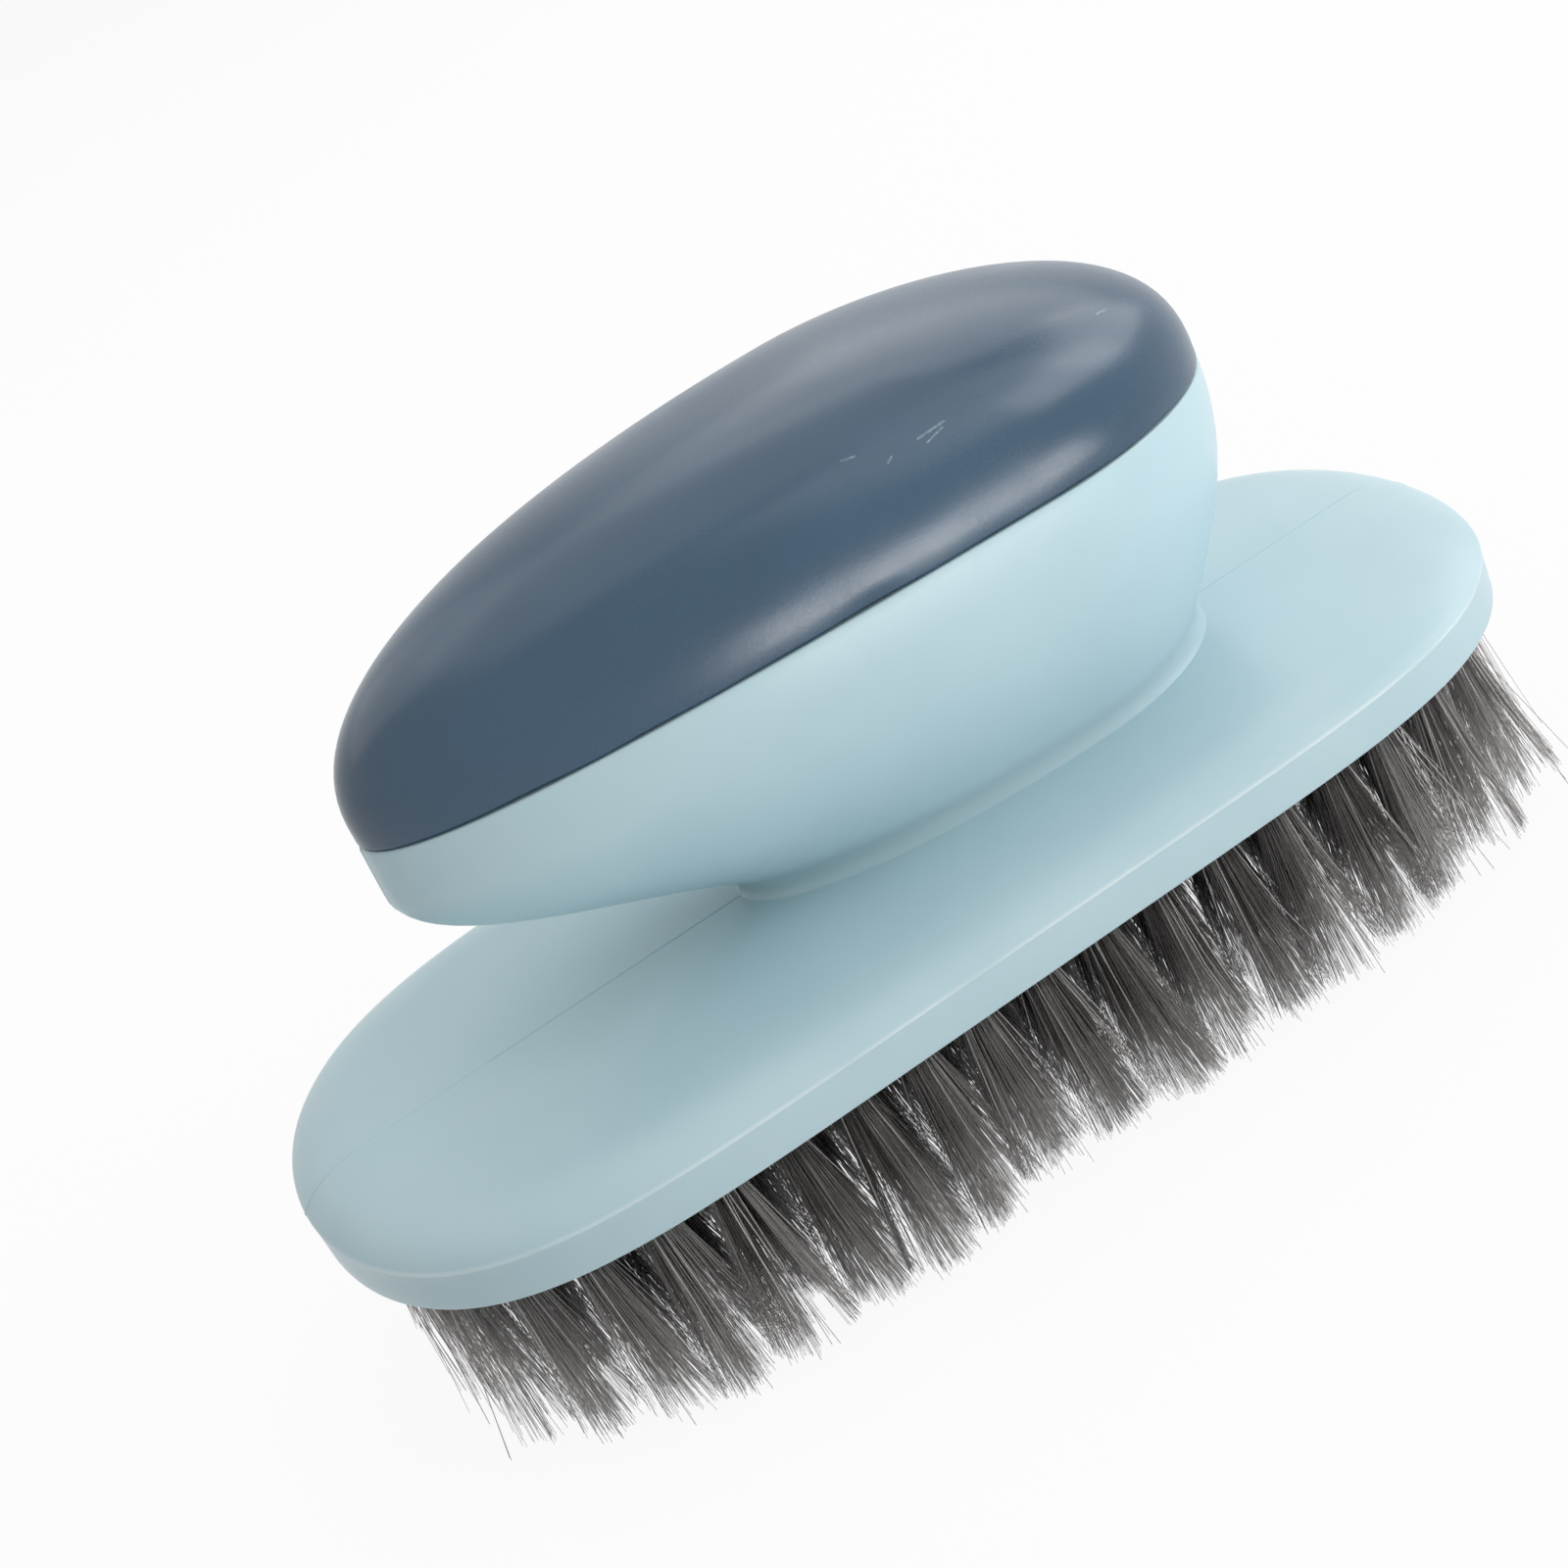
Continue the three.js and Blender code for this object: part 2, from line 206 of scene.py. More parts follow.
def pedestal_outline(share, inset=0.0):
    """Outline of the pedestal at a share of its height: 0 at the foot, 1 at the seam."""
    flare, swell = np.sin(np.pi / 2 * share), PEDESTAL_BULGE * np.sin(np.pi * share)
    sweep = np.sin(np.pi / 2 * min(1.0, share / REAR_SWEEP)) ** REAR_CURVE
    front = FOOT_FRONT + (SEAM_FRONT - FOOT_FRONT) * flare + swell
    rear = FOOT_REAR + (SEAM_REAR - FOOT_REAR) * sweep + swell
    widest = FOOT_WIDEST + (SEAM_WIDEST - FOOT_WIDEST) * flare
    width = FOOT_WIDTH + (SEAM_WIDTH - FOOT_WIDTH) * flare + 2 * swell
    return oblong(front, rear, widest, width, HANDLE_POWERS, inset)[0]


def seam_z(x):
    return SEAM_Z - SEAM_DROP * (x / SEAM_FRONT) ** 2


def at_height(outline, z):
    return np.column_stack([outline, np.broadcast_to(z, len(outline))])


def at_share(outline, share):
    return at_height(outline, PLATE_TOP_Z + share * (seam_z(outline[:, 0]) - PLATE_TOP_Z))


def from_seam(outline, rise):
    return at_height(outline, seam_z(outline[:, 0]) + rise)


def loft_faces(rings):
    """Vertices and faces of a skin over rings, in order, with normals out where the rings go up."""
    count = len(rings[0])
    i = np.arange(count)
    j = (i + 1) % count
    faces = []
    for r in range(len(rings) - 1):
        low, high = r * count, (r + 1) * count
        faces += np.stack([low + i, low + j, high + j, high + i], 1).tolist()
    return np.concatenate(rings), faces


def fan(vertices, faces, start, count, centre, closing):
    """Closes a ring of vertices on a point: the last of a loft if closing, else the first."""
    vertices = np.vstack([vertices, centre])
    tip = len(vertices) - 1
    for i in range(count):
        j = (i + 1) % count
        faces.append([start + i, start + j, tip] if closing else [tip, start + j, start + i])
    return vertices, faces


def join(*parts):
    """One list of vertices and faces from several."""
    vertices, faces = [], []
    for part_vertices, part_faces in parts:
        start = len(vertices)
        vertices += [tuple(v) for v in part_vertices]
        faces += [[start + i for i in f] for f in part_faces]
    return vertices, faces


def piece(name, vertices, faces, material, replaced=(), smooth=True, crease=None):
    """A mesh object in metres that rides on the brush, welded and sharp above crease degrees if given."""
    mesh = bpy.data.meshes.new(name)
    mesh.from_pydata((np.asarray(vertices) * MM).tolist(), [], faces)
    if crease:
        work = bmesh.new()
        work.from_mesh(mesh)
        bmesh.ops.remove_doubles(work, verts=work.verts, dist=WELD * MM)
        work.to_mesh(mesh)
        work.free()
    mesh.update()
    if smooth:
        mesh.polygons.foreach_set("use_smooth", np.ones(len(mesh.polygons), bool))
    if crease:
        mesh.set_sharp_from_angle(angle=np.radians(crease))
    obj = bpy.data.objects.new(name, mesh)
    bpy.context.collection.objects.link(obj)
    obj.data.materials.append(material)
    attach(obj, "root")
    if replaced:
        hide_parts(*replaced)
    return obj


# Tuft places

def tuft_places():
    """For each ring, the middle of each tuft and the direction that faces out of the brush."""
    rings = []
    for i in range(RING_COUNT):
        inset = RING_EDGE + i * RING_PITCH
        count = int(round(plate_oblong(inset)[1] / TUFT_PITCH))
        points = plate_oblong(inset, count * PITCH_STEPS)[0]
        along = np.roll(points, -1, 0) - np.roll(points, 1, 0)
        out = np.stack([along[:, 1], -along[:, 0]], 1)
        out /= np.linalg.norm(out, axis=1, keepdims=True)
        rings.append((points[::PITCH_STEPS], out[::PITCH_STEPS]))
    return rings


TUFTS = tuft_places()


# Materials

def node_material(name):
    material = bpy.data.materials.new(name)
    material.use_nodes = True
    tree = material.node_tree
    tree.nodes.clear()
    shader = tree.nodes.new("ShaderNodeBsdfPrincipled")
    output = tree.nodes.new("ShaderNodeOutputMaterial")
    tree.links.new(shader.outputs["BSDF"], output.inputs["Surface"])
    return material, tree, shader


def add(tree, kind, links=None, **values):
    """A node with its properties and input values set, and its inputs linked."""
    node = tree.nodes.new(kind)
    for key, value in values.items():
        if not hasattr(node, key):
            node.inputs[key].default_value = value
        else:
            setattr(node, key, value)
    for key, source in (links or {}).items():
        tree.links.new(source, node.inputs[key])
    return node


def place(tree, scale=(1, 1, 1)):
    """Object coordinates in millimetres, stretched by scale."""
    coords = add(tree, "ShaderNodeTexCoord")
    scaled = tuple(s / MM for s in scale)
    mapping = add(tree, "ShaderNodeMapping", {"Vector": coords.outputs["Object"]}, Scale=scaled)
    return mapping.outputs["Vector"]


def noise(tree, vector, scale, detail=2.0, roughness=0.5):
    values = {"Scale": scale, "Detail": detail, "Roughness": roughness}
    return add(tree, "ShaderNodeTexNoise", {"Vector": vector}, **values).outputs["Fac"]


def remap(tree, value, low, high, to_low, to_high):
    links = {"Value": value}
    values = {"From Min": low, "From Max": high, "To Min": to_low, "To Max": to_high}
    return add(tree, "ShaderNodeMapRange", links, **values).outputs["Result"]


def math(tree, operation, a, b=0.0):
    node = add(tree, "ShaderNodeMath", operation=operation)
    for socket, value in zip(node.inputs, (a, b)):
        if isinstance(value, (int, float)):
            socket.default_value = value
        else:
            tree.links.new(value, socket)
    return node.outputs["Value"]


def mix(tree, factor, a, b):
    """Colour a where factor is 0 and b where it is 1. Each is a colour or a socket."""
    node = add(tree, "ShaderNodeMix", data_type="RGBA")
    tree.links.new(factor, node.inputs["Factor"])
    for socket, value in ((node.inputs[6], a), (node.inputs[7], b)):
        if isinstance(value, tuple):
            socket.default_value = value
        else:
            tree.links.new(value, socket)
    return node.outputs[2]


def stroke(tree, start, end, width):
    """1 on a straight fine stroke from start to end, 0 away from it."""
    away = add(tree, "ShaderNodeVectorMath", {0: place(tree)}, operation="SUBTRACT")
    away.inputs[1].default_value = start
    along = np.subtract(end, start)
    dot = add(tree, "ShaderNodeVectorMath", {0: away.outputs["Vector"]}, operation="DOT_PRODUCT")
    dot.inputs[1].default_value = along / (along @ along)
    share = add(tree, "ShaderNodeClamp", {"Value": dot.outputs["Value"]})
    foot = add(tree, "ShaderNodeVectorMath", {"Scale": share.outputs["Result"]}, operation="SCALE")
    foot.inputs[0].default_value = along
    ends = {0: away.outputs["Vector"], 1: foot.outputs["Vector"]}
    gap = add(tree, "ShaderNodeVectorMath", ends, operation="DISTANCE")
    return remap(tree, gap.outputs["Value"], width * STROKE_CORE, width, 1.0, 0.0)


def painted_edge_highlight(tree, z):
    """Patchy painted highlight along an edge at height z, 0 away from it."""
    level = add(tree, "ShaderNodeSeparateXYZ", {"Vector": place(tree)}).outputs["Z"]
    away = math(tree, "ABSOLUTE", math(tree, "SUBTRACT", level, z))
    patchy = remap(tree, noise(tree, place(tree), EDGE_HIGHLIGHT_SCALE), 0.35, 0.6, *EDGE_HIGHLIGHT_STRENGTH)
    return math(tree, "MULTIPLY", remap(tree, away, 0.0, EDGE_HIGHLIGHT_REACH, 1.0, 0.0), patchy)


def moulded_plastic(name, colour, shade, roughness, specular, marks=(), mark_colour=None, edge_highlight=None):
    """Satin moulded plastic: drifting colour, mould grain, smudges, fine strokes and a painted highlight
    along an edge.
    """
    material, tree, shader = node_material(name)
    drift = remap(tree, noise(tree, place(tree), DRIFT_SCALE, 3.0), 0.35, 0.65, 0.0, 1.0)
    fine = noise(tree, place(tree), GRAIN_SCALE, 3.0, 0.6)
    tint = mix(tree, drift, shade, colour)
    height = math(tree, "MULTIPLY", fine, GRAIN_HEIGHT)
    for start, end, width in marks:
        broken = remap(tree, fine, 0.35, 0.6, *STROKE_STRENGTH)
        marked = math(tree, "MULTIPLY", stroke(tree, start, end, width), broken)
        tint = mix(tree, marked, tint, mark_colour)
        height = math(tree, "ADD", height, math(tree, "MULTIPLY", marked, GRAIN_HEIGHT))
    # a pale line painted along an edge as its highlight
    if edge_highlight:
        z, pale = edge_highlight
        tint = mix(tree, painted_edge_highlight(tree, z), tint, pale)
    tree.links.new(tint, shader.inputs["Base Color"])

    smudge = noise(tree, place(tree), SMUDGE_SCALE, 4.0, 0.55)
    smooth, dull = roughness - SMUDGE_ROUGHNESS, roughness + SMUDGE_ROUGHNESS
    rough = math(tree, "ADD", remap(tree, smudge, 0.3, 0.7, smooth, dull),
                 remap(tree, fine, 0.3, 0.7, -GRAIN_ROUGHNESS, GRAIN_ROUGHNESS))
    tree.links.new(rough, shader.inputs["Roughness"])
    shader.inputs["Specular IOR Level"].default_value = specular

    bump = add(tree, "ShaderNodeBump", {"Height": height}, Strength=1.0, Distance=MM)
    tree.links.new(bump.outputs["Normal"], shader.inputs["Normal"])
    return material


def filament_material():
    """Grey synthetic filament, each a shade of its own, darker in the tuft and paler to the tips with
    painted light.
    """
    material, tree, shader = node_material("grey_filament")
    tone = add(tree, "ShaderNodeAttribute", attribute_name="tone").outputs["Fac"]
    tip = add(tree, "ShaderNodeAttribute", attribute_name="tip").outputs["Fac"]
    shade = mix(tree, tone, srgb(75, 64, 60), srgb(222, 216, 214))
    # painted light: the tips pale towards white for the light that shines through them
    shade = mix(tree, remap(tree, tip, 0.42, 1.0, 0.0, 0.85), shade, srgb(244, 240, 238))
    tree.links.new(shade, shader.inputs["Base Color"])
    streaks = noise(tree, place(tree, (4.0, 4.0, 0.25)), 1.0, 2.0)
    tree.links.new(remap(tree, streaks, 0.3, 0.7, 0.22, 0.36), shader.inputs["Roughness"])
    shader.inputs["Specular IOR Level"].default_value = 0.6
    shader.inputs["Transmission Weight"].default_value = 0.3
    return material


def wire_material():
    """Dull drawn steel wire."""
    material, tree, shader = node_material("anchor_wire")
    shader.inputs["Metallic"].default_value = 1.0
    draw = noise(tree, place(tree, (0.4, 6.0, 6.0)), 1.0, 2.0)
    tree.links.new(mix(tree, draw, srgb(120, 118, 114), srgb(165, 163, 158)), shader.inputs["Base Color"])
    tree.links.new(remap(tree, draw, 0.3, 0.7, 0.3, 0.45), shader.inputs["Roughness"])
    return material


def on_dome(x, rise):
    """The point of the cap's near flank at x, a rise above the seam."""
    shrink = (1 - ((rise - CAP_LIFT) / (CAP_HEIGHT - CAP_LIFT)) ** CAP_FULLNESS) ** (1 / CAP_FULLNESS)
    along = x / shrink - SEAM_WIDEST
    share = along / (SEAM_FRONT - SEAM_WIDEST if along > 0 else SEAM_REAR + SEAM_WIDEST)
    return (x, -SEAM_WIDTH / 2 * np.sqrt(1 - share ** 2) * shrink, seam_z(x) + rise)


CAP_MARKS = [(on_dome(*row[0:2]), on_dome(*row[2:4]), row[4]) for row in SCRATCHES]
# the pale line along the top of the plate's side is a painted highlight on its shoulder
BODY_PLASTIC = moulded_plastic("pale_plastic", srgb(187, 213, 220), srgb(182, 209, 217),
                               roughness=0.34, specular=0.5,
                               edge_highlight=(RIM_Z + PLATE_SIDE, srgb(234, 245, 247)))
CAP_PLASTIC = moulded_plastic("slate_plastic", srgb(37, 74, 100), srgb(33, 68, 93),
                              roughness=0.25, specular=0.68,
                              marks=CAP_MARKS, mark_colour=srgb(140, 154, 164))
FILAMENT = filament_material()
WIRE = wire_material()


# Plate and pedestal

def plate_profile():
    """Inset and height above the rim, from the underside up over the side, shoulder and crown."""
    points = [(PLATE_EDGE * (1 - np.sin(t)), PLATE_EDGE * (1 - np.cos(t))) for t in QUARTER]
    points += [(0.0, z) for z in np.linspace(PLATE_EDGE, PLATE_SIDE - SHOULDER, 4)[1:-1]]
    start = np.radians(CROWN_START)
    turn = np.linspace(start, np.pi / 2, CROWN_STEPS)
    inset = PLATE_ROUND * (1 - np.cos(turn) / np.cos(start))
    rise = (PLATE_THICKNESS - PLATE_SIDE) * (np.sin(turn) - np.sin(start)) / (1 - np.sin(start))
    crown = np.stack([inset, PLATE_SIDE + rise], 1)
    crown = crown[np.hypot(*(crown - crown[0]).T) > SHOULDER]
    low, corner, high = np.array([0.0, PLATE_SIDE - SHOULDER]), np.array([0.0, PLATE_SIDE]), crown[0]
    for k in (0.0, 0.15, 0.3, 0.45, 0.6, 0.75, 0.9):
        bead = SHOULDER_BEAD * np.sin(np.pi * k) ** 2
        points.append(low * (1 - k) ** 2 + 2 * corner * k * (1 - k) + high * k ** 2 - (bead, 0))
    return points + list(crown[::2]) + [crown[-1]]


def outside_rings():
    """Rings from the plate's underside up over the plate, round the foot and up to the seam's rim."""
    rings = [at_height(plate_outline(inset), RIM_Z + rise) for inset, rise in plate_profile()]
    inner, outer = pedestal_outline(0, -FOOT_REACH), rings[-1][:, :2]
    spread = np.concatenate([np.linspace(0, 0.97, 8)[1:], [0.995, 1.0]])
    rings += [at_height(outer + (inner - outer) * k, PLATE_TOP_Z) for k in spread]
    for part in (0.02, 0.06, 0.13, 0.22, 0.32, 0.43, 0.55, 0.68, 0.83, 1.0):
        share = FOOT_RISE * part / PEDESTAL_HEIGHT
        rings.append(at_share(pedestal_outline(share, -FOOT_REACH * (1 - part) ** 2), share))
    first, last = FOOT_RISE / PEDESTAL_HEIGHT, 1 - SEAM_EDGE / PEDESTAL_HEIGHT
    rings += [at_share(pedestal_outline(s), s) for s in np.linspace(first, last, PEDESTAL_STEPS)[1:]]
    for t in QUARTER[1:]:
        rim = seam_outline(SEAM_EDGE * (1 - np.cos(t)))
        rings.append(from_seam(rim, -SEAM_EDGE * (1 - np.sin(t))))
    return rings


def hollow_rings():
    """Rings from the pedestal's mouth down its hollow."""
    mouth = seam_outline(PEDESTAL_WALL)
    rings = [from_seam(mouth, 0.0), from_seam(mouth, -SKIRT_DEPTH - SEAM_GAP)]
    below = 1 - (SKIRT_DEPTH + 2 * SEAM_GAP) / PEDESTAL_HEIGHT
    for share in np.linspace(below, 0, HOLLOW_STEPS):
        lift = np.array([0, 0, PEDESTAL_WALL * (1 - share)])
        rings.append(at_share(pedestal_outline(share, PEDESTAL_WALL), share) + lift)
    return rings


def flat_underside(border, centres, circle):
    """The plate's flat underside inside its border, open at the tuft holes."""
    points = [Vector(p) for p in border]
    edges = [(i, (i + 1) % len(border)) for i in range(len(border))]
    for centre in centres:
        start = len(points)
        points += [Vector(p) for p in centre + circle * (HOLE_RADIUS + HOLE_CHAMFER)]
        edges += [(start + i, start + (i + 1) % HOLE_SIDES) for i in range(HOLE_SIDES)]
    inside, tolerance = 2, 1e-6
    flat, _, patches, *_ = delaunay_2d_cdt(points, edges, [], inside, tolerance)
    mouth = (HOLE_RADIUS + HOLE_CHAMFER) * np.cos(np.pi / HOLE_SIDES)
    faces = []
    for patch in patches:
        middle = np.mean([flat[i] for i in patch], 0)
        if np.hypot(*(centres - middle).T).min() > mouth:
            faces.append(list(reversed(patch)))
    return [(p.x, p.y, RIM_Z) for p in flat], faces


def tuft_holes(centres, circle):
    """A blind hole with a chamfered mouth for each tuft."""
    levels = [(HOLE_RADIUS + HOLE_CHAMFER, 0.0), (HOLE_RADIUS, HOLE_CHAMFER), (HOLE_RADIUS, HOLE_DEPTH)]
    vertices, faces = [], []
    for centre in centres:
        start = len(vertices)
        for radius, up in levels:
            vertices += [(*p, RIM_Z + up) for p in centre + circle * radius]
        for level in range(len(levels) - 1):
            low, high = start + level * HOLE_SIDES, start + (level + 1) * HOLE_SIDES
            for i in range(HOLE_SIDES):
                j = (i + 1) % HOLE_SIDES
                faces.append([low + j, low + i, high + i, high + j])
        top = start + (len(levels) - 1) * HOLE_SIDES
        faces.append([top + i for i in reversed(range(HOLE_SIDES))])
    return vertices, faces


def underside(border):
    """The plate's underside with a blind hole for each tuft. border is its outline."""
    centres = np.concatenate([middles for middles, _ in TUFTS])
    turn = np.arange(HOLE_SIDES) / HOLE_SIDES * 2 * np.pi
    circle = np.stack([np.cos(turn), np.sin(turn)], 1)
    return join(flat_underside(border, centres, circle), tuft_holes(centres, circle))


def witness_ridge(rings):
    """Fine ridge along the middle plane, down both ends of the pedestal and out over the plate."""
    vertices, faces = [], []
    for end in (1, -1):
        furthest = [r[np.argmax(end * r[:, 0])] for r in rings]
        path = np.array(furthest)[len(QUARTER):, [0, 2]]
        along = np.gradient(path, axis=0)
        along /= np.linalg.norm(along, axis=1, keepdims=True) + 1e-12
        out = np.stack([end * along[:, 1], -end * along[:, 0]], 1)
        base = len(vertices)
        for point, normal in zip(path, out):
            sunk = point - normal * WITNESS_SINK
            proud = point + normal * WITNESS_HEIGHT
            for y, (x, z) in ((-WITNESS_WIDTH / 2, sunk), (0, proud), (WITNESS_WIDTH / 2, sunk)):
                vertices.append((x, y, z))
        for s in range(len(path) - 1):
            a, b = base + 3 * s, base + 3 * (s + 1)
            for i, j in ((0, 1), (1, 2), (2, 0)):
                quad = [a + i, a + j, b + j, b + i]
                faces.append(quad if end > 0 else quad[::-1])
        first, last = [base, base + 1, base + 2], [base + 3 * (len(path) - 1) + i for i in (2, 1, 0)]
        faces += [first[::-1], last[::-1]] if end > 0 else [first, last]
    return vertices, faces


def brush_body():
    outside = outside_rings()
    rings = outside + hollow_rings()
    skin = loft_faces(rings)
    start = (len(rings) - 1) * AROUND
    skin = fan(*skin, start, AROUND, (FOOT_WIDEST, 0, PLATE_TOP_Z + PEDESTAL_WALL), True)
    under = underside(rings[0][:, :2])
    vertices, faces = join(skin, under, witness_ridge(outside))
    piece("plate_and_pedestal", vertices, faces, BODY_PLASTIC, ["brush_body"],
          crease=CREASE)


# Grip cap

def dome(inset, height, lift, count):
    """Rings of a dome over the seam, upward, without its top point."""
    rings = []
    for t in np.pi / 2 * (1 - (1 - np.arange(count) / count) ** DOME_SPACING):
        outline = seam_outline(inset) * np.cos(t) ** (2 / CAP_FULLNESS)
        rings.append(from_seam(outline, lift + height * np.sin(t) ** (2 / CAP_FULLNESS)))
    return rings


def cap_edge_rings():
    """The cap's rounded, slightly uneven edge at the seam."""
    turn = np.arange(AROUND) / AROUND * 2 * np.pi
    wave = SEAM_WAVE * sum(np.sin(turns * turn + start) for turns, start in SEAM_WAVES)
    rings = []
    for t in QUARTER[:-1]:
        rise = SEAM_GAP + SEAM_EDGE * (1 - np.cos(t)) + wave * np.cos(t)
        rings.append(from_seam(seam_outline(SEAM_EDGE * (1 - np.sin(t))), rise))
    return rings


def grip_cap():
    """A shell: hollow inside, skirt with its snap bead, the edge at the seam, then the dome."""
    skirt = PEDESTAL_WALL + SEAM_GAP
    hollow = skirt + SKIRT_WALL
    rings = dome(hollow, CAP_HEIGHT - CAP_WALL, 0.0, CAP_INSIDE_STEPS)[::-1]
    rings.append(from_seam(seam_outline(hollow), -SKIRT_DEPTH))
    rings.append(from_seam(seam_outline(skirt), -SKIRT_DEPTH))
    for depth, rise in ((BEAD_WIDTH / 2, 0), (0, BEAD_HEIGHT), (-BEAD_WIDTH / 2, 0)):
        rings.append(from_seam(seam_outline(skirt - rise), -BEAD_DEPTH - depth))
    rings.append(from_seam(seam_outline(skirt), SEAM_GAP))
    rings += cap_edge_rings()
    rings += dome(0.0, CAP_HEIGHT - CAP_LIFT, CAP_LIFT, DOME_STEPS)
    vertices, faces = loft_faces(rings)
    vertices, faces = fan(vertices, faces, 0, AROUND, (0, 0, TOP_Z - CAP_WALL), False)
    vertices, faces = fan(vertices, faces, (len(rings) - 1) * AROUND, AROUND, (0, 0, TOP_Z), True)
    piece("grip_cap_shell", vertices, faces, CAP_PLASTIC, ["grip_cap"], crease=CREASE)


# Tufts and their anchors

def endness(middle):
    """0 along the brush, rising to about 1 at its two ends."""
    return (middle[0] / (PLATE_LENGTH / 2 - RING_EDGE)) ** END_POWER


def filament_aims(count):
    """Where each filament of a tuft goes, within a circle of radius 1, its bunch and whether it strays."""
    centre = RNG.normal(0, BUNCH_SCATTER, (BUNCHES, 2))
    bunch = RNG.randint(BUNCHES, size=count)
    aim = centre[bunch] + RNG.normal(0, BUNCH_SPREAD, (count, 2))
    stray = RNG.rand(count) < STRAYS
    aim[stray] = RNG.normal(0, STRAY_SCATTER, (stray.sum(), 2))
    aim /= np.maximum(1, np.linalg.norm(aim, axis=1, keepdims=True))
    return aim, bunch, stray


def filament_paths(middle, aim, stray, lean):
    """Points down each filament of one tuft, root to tip. lean is how far the tuft's tips lean out."""
    count = len(aim)
    radius = np.linalg.norm(aim, axis=1)
    root = middle + aim * ROOT_RADIUS
    set_lean = TUFT_SET * (1 - max(0.0, 2 * middle[0] / PLATE_LENGTH) ** SET_FADE)
    sway = RNG.normal(0, TUFT_SWAY, 2) + lean + (set_lean, 0)
    wander = RNG.normal(0, TIP_WANDER, (count, 2)) * np.where(stray, STRAY_WANDER, 1)[:, None]
    tip = middle + aim * TIP_RADIUS + np.clip(wander, -WANDER_LIMIT, WANDER_LIMIT) + sway
    domed = TIP_DOMING * radius ** 2 * RNG.rand(count)
    ragged = RNG.exponential(TIP_UNEVENNESS, count)
    length = RIM_Z - TRIM - domed - ragged
    reach = np.linalg.norm(tip - root, axis=1)
    drop = np.sqrt(np.maximum(length ** 2 - reach ** 2, LEAST_DROP ** 2))
    bow = RNG.normal(0, FILAMENT_BOW, (count, 2))
    paths = [at_height(root, RIM_Z + ROOT_SINK)]
    for s in STATIONS:
        xy = root + (tip - root) * s ** SPLAY_CURVE + bow * np.sin(np.pi * s)
        paths.append(at_height(xy, RIM_Z - drop * s))
    return np.stack(paths, 1)


def filament_tones(middle, bunch, stray):
    """Tone of each filament of one tuft, 0 dark to 1 pale."""
    tone = RNG.beta(*TONE_SHAPE, BUNCHES)[bunch] + RNG.normal(0, TONE_SCATTER, len(bunch))
    # painted light pales the tufts at the two ends
    tone += END_PAINTED_LIGHT * endness(middle)
    tone[stray] = STRAY_TONE + (1 - STRAY_TONE) * RNG.rand(stray.sum())
    return np.clip(tone, 0, 1)


def tuft(middle, lean, count):
    """Paths, tones and radii of one tuft's filaments, fewer at the two ends of the brush."""
    aim, bunch, stray = filament_aims(int(count * (1 - END_THINNING * endness(middle))))
    paths = filament_paths(middle, aim, stray, lean)
    return paths, filament_tones(middle, bunch, stray), np.where(stray, STRAY_RADIUS, FILAMENT_RADIUS)


def tuft_ring(i):
    """All the filaments of one ring of tufts, as fine three-sided rods in one mesh."""
    middles, outs = TUFTS[i]
    lean = OUTWARD_LEAN * (1 - i / RING_COUNT)
    made = [tuft(middle, out * lean, FILAMENTS[i]) for middle, out in zip(middles, outs)]
    paths, tones, radii = (np.concatenate(values) for values in zip(*made))
    count, stations = paths.shape[:2]
    turn = RNG.rand(count)[:, None] * 2 * np.pi + np.arange(3) * 2 * np.pi / 3
    offset = np.stack([np.cos(turn), np.sin(turn), np.zeros_like(turn)], -1) * radii[:, None, None]
    taper = np.linspace(1.0, FILAMENT_TAPER, stations)[None, :, None, None]
    vertices = (paths[:, :, None, :] + offset[:, None] * taper).reshape(-1, 3)

    first = np.arange(count)[:, None] * stations * 3
    low = first[:, :, None] + np.arange(stations - 1)[None, :, None] * 3
    high = low + 3
    a = np.arange(3)[None, None, :]
    b = (a + 1) % 3
    quads = np.stack([low + a, high + a, high + b, low + b], -1).reshape(-1, 4)
    root = first + np.array([0, 1, 2])
    tips = first + (stations - 1) * 3 + np.array([2, 1, 0])
    faces = quads.tolist() + root.tolist() + tips.tolist()
    obj = piece(f"tufts_{i + 1}", vertices, faces, FILAMENT, [f"bristle_ring_{i + 1}"])
    along = np.clip((RIM_Z - paths[:, :, 2]) / RIM_Z, 0, 1)
    # the inner rings' filaments are darkened with painted shade
    values = {"tone": np.repeat(tones * RING_SHADE_TONES[i], stations * 3), "tip": np.repeat(along.ravel(), 3)}
    for name, value in values.items():
        obj.data.attributes.new(name, "FLOAT", "POINT").data.foreach_set("value", value.astype(np.float32))


def anchor(middle, out):
    """A short flat wire with bevelled ends across one tuft's hole."""
    across, thick, tall = (size / 2 for size in ANCHOR)
    side = np.array([-out[1], out[0]])
    middle_z = RIM_Z + HOLE_DEPTH - tall - ANCHOR_CLEARANCE
    straight = tall - ANCHOR_BEVEL
    rings = []
    for z, inset in ((-tall, ANCHOR_BEVEL), (-straight, 0), (straight, 0), (tall, ANCHOR_BEVEL)):
        w, t = across - inset, thick - inset
        corners = np.array([(w, -t), (w, t), (-w, t), (-w, -t)])
        outline = middle + corners[:, :1] * side - corners[:, 1:] * out
        rings.append(at_height(outline, middle_z + z))
    vertices, faces = loft_faces(rings)
    return vertices, faces + [[3, 2, 1, 0], [12, 13, 14, 15]]


def tuft_anchors():
    """The wires that wedge the folds of the tufts in their holes."""
    parts = [anchor(middle, out) for ring in TUFTS for middle, out in zip(*ring)]
    vertices, faces = join(*parts)
    piece("tuft_anchors", vertices, faces, WIRE, smooth=False)


# Floor, light and camera

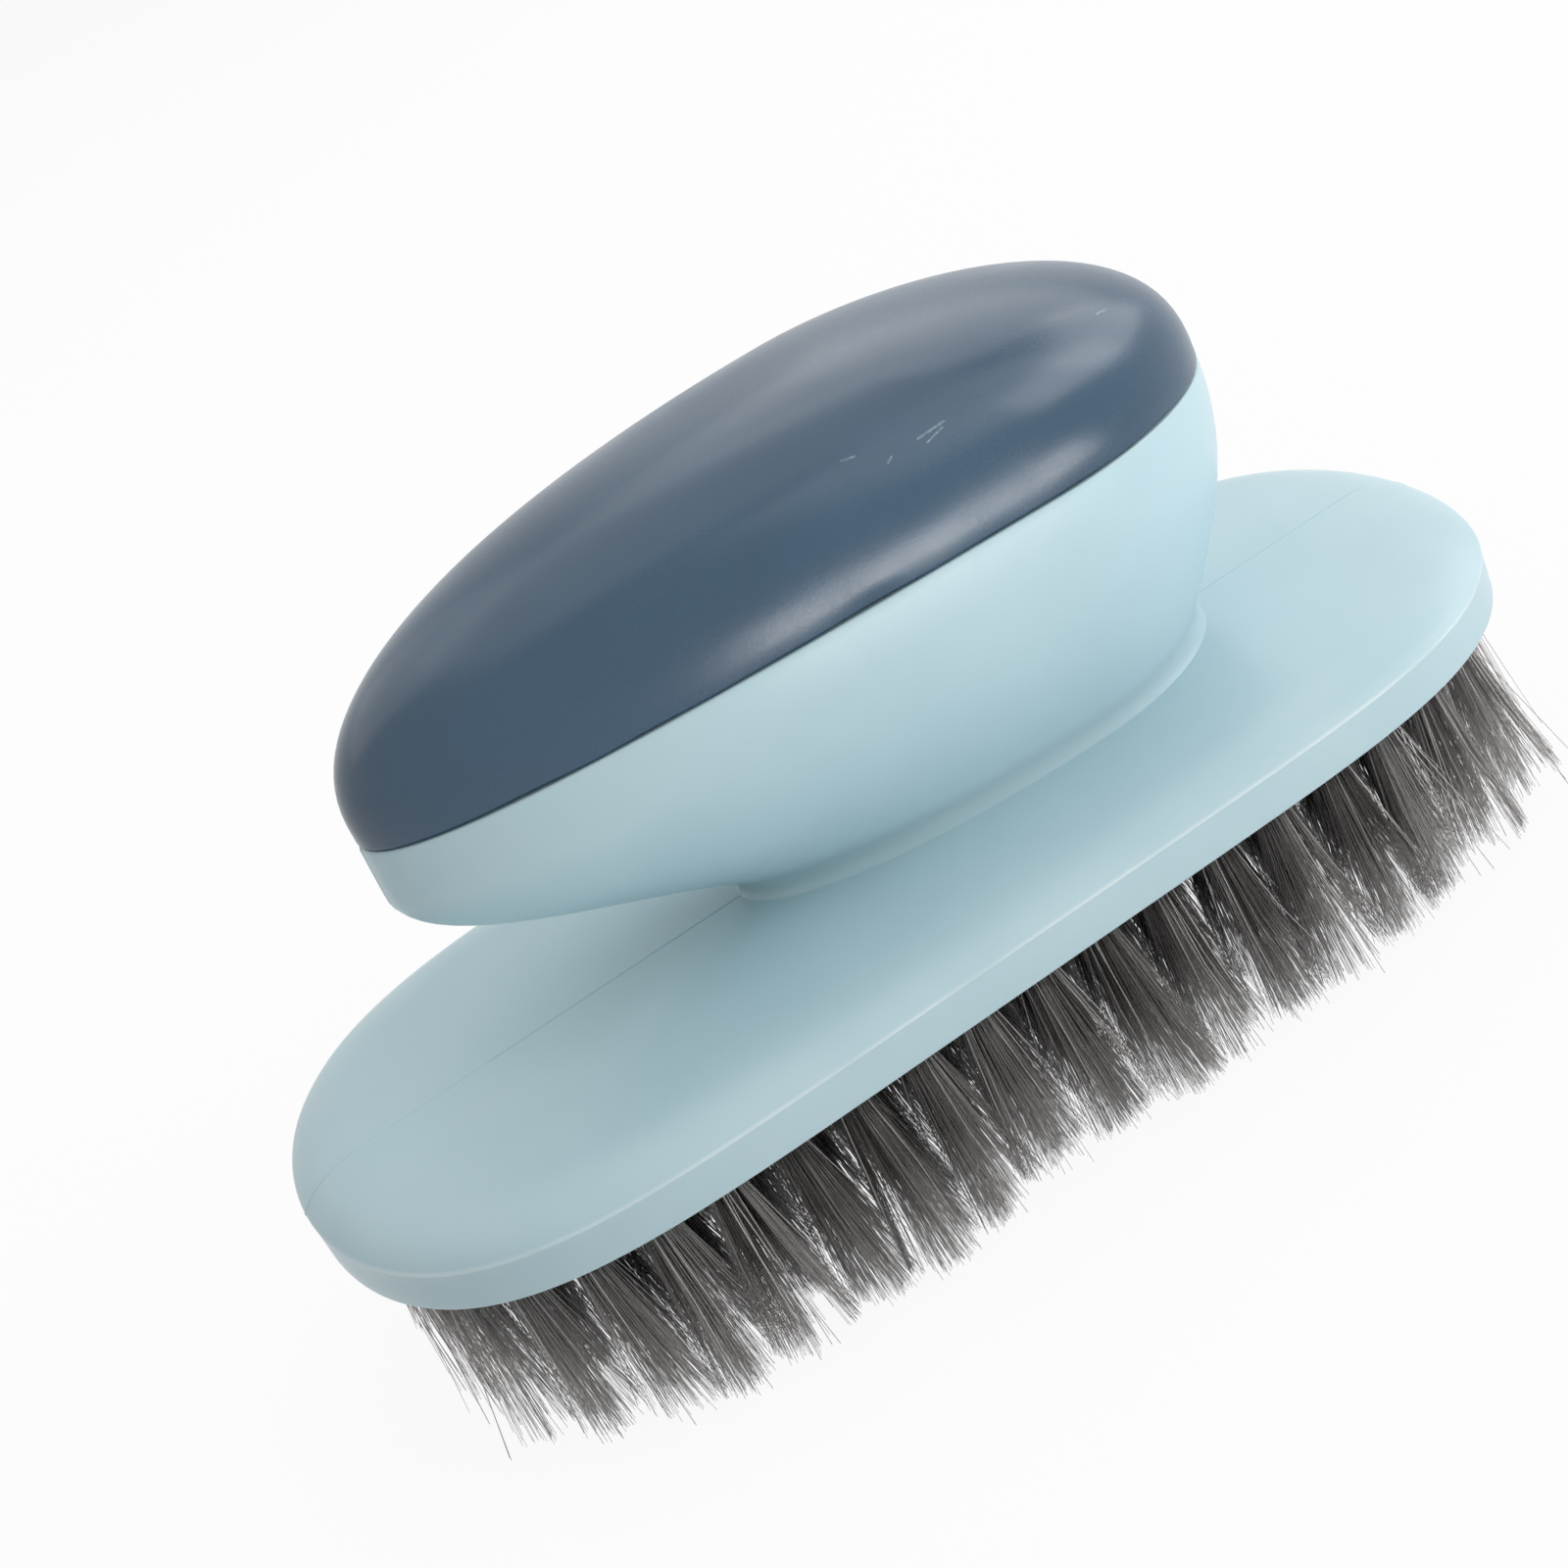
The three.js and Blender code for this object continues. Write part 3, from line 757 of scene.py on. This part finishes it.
def seen(tree):
    """1 where a surface is looked at, directly, in gloss or through a filament, and 0 where it lights."""
    rays = add(tree, "ShaderNodeLightPath")
    looked = math(tree, "MAXIMUM", rays.outputs["Is Camera Ray"], rays.outputs["Is Glossy Ray"])
    return math(tree, "MAXIMUM", looked, rays.outputs["Is Transmission Ray"])


def floor():
    """White floor under the brush, which keeps a faint shadow."""
    half = FLOOR_HALF
    corners = [(-half, -half, 0), (half, -half, 0), (half, half, 0), (-half, half, 0)]
    mesh = bpy.data.meshes.new("floor")
    mesh.from_pydata(corners, [], [[0, 1, 2, 3]])
    obj = bpy.data.objects.new("floor", mesh)
    bpy.context.collection.objects.link(obj)
    material, tree, shader = node_material("floor_white")
    shader.inputs["Base Color"].default_value = (FLOOR_GREY, FLOOR_GREY, FLOOR_GREY, 1.0)
    shader.inputs["Roughness"].default_value = 0.9
    glow = add(tree, "ShaderNodeEmission", Color=(1.0, 1.0, 1.0, 1.0), Strength=1.0)
    blend = add(tree, "ShaderNodeMixShader")
    tree.links.new(math(tree, "MULTIPLY", seen(tree), FLOOR_GLOW), blend.inputs["Fac"])
    tree.links.new(shader.outputs["BSDF"], blend.inputs[1])
    tree.links.new(glow.outputs["Emission"], blend.inputs[2])
    tree.links.new(blend.outputs["Shader"], tree.nodes["Material Output"].inputs["Surface"])
    obj.data.materials.append(material)


def area_light(name, at, aim, size, power):
    """A soft rectangle lamp that the camera doesn't see."""
    data = bpy.data.lights.new(name, "AREA")
    data.shape = "RECTANGLE"
    data.size, data.size_y = size
    data.energy = power
    obj = bpy.data.objects.new(name, data)
    bpy.context.collection.objects.link(obj)
    obj.location = at
    obj.rotation_euler = (Vector(aim) - Vector(at)).to_track_quat("-Z", "Y").to_euler()
    obj.visible_camera = False


def lights():
    """The lamps and the white world round them."""
    for lamp in LAMPS:
        area_light(*lamp)
    world = bpy.data.worlds.new("studio")
    bpy.context.scene.world = world
    world.use_nodes = True
    tree = world.node_tree
    tree.nodes["Background"].inputs["Color"].default_value = (1.0, 1.0, 1.0, 1.0)
    strength = remap(tree, seen(tree), 0.0, 1.0, WORLD, 1.0)
    tree.links.new(strength, tree.nodes["Background"].inputs["Strength"])


def camera():
    data = bpy.data.cameras.new("camera")
    data.sensor_width = CAMERA_SENSOR
    data.lens = CAMERA_LENS
    data.clip_start, data.clip_end = 0.01, 50.0
    obj = bpy.data.objects.new("camera", data)
    bpy.context.collection.objects.link(obj)
    at, aim = Vector(CAMERA_AT) * MM, Vector(CAMERA_AIM) * MM
    turn = (aim - at).to_track_quat("-Z", "Y").to_matrix()
    rolled = turn @ Matrix.Rotation(np.radians(CAMERA_ROLL), 3, "Z")
    obj.matrix_world = Matrix.Translation(at) @ rolled.to_4x4()
    bpy.context.scene.camera = obj


brush_body()
grip_cap()
for ring_number in range(RING_COUNT):
    tuft_ring(ring_number)
tuft_anchors()
floor()
lights()
camera()
bpy.context.scene.view_settings.view_transform = "Standard"
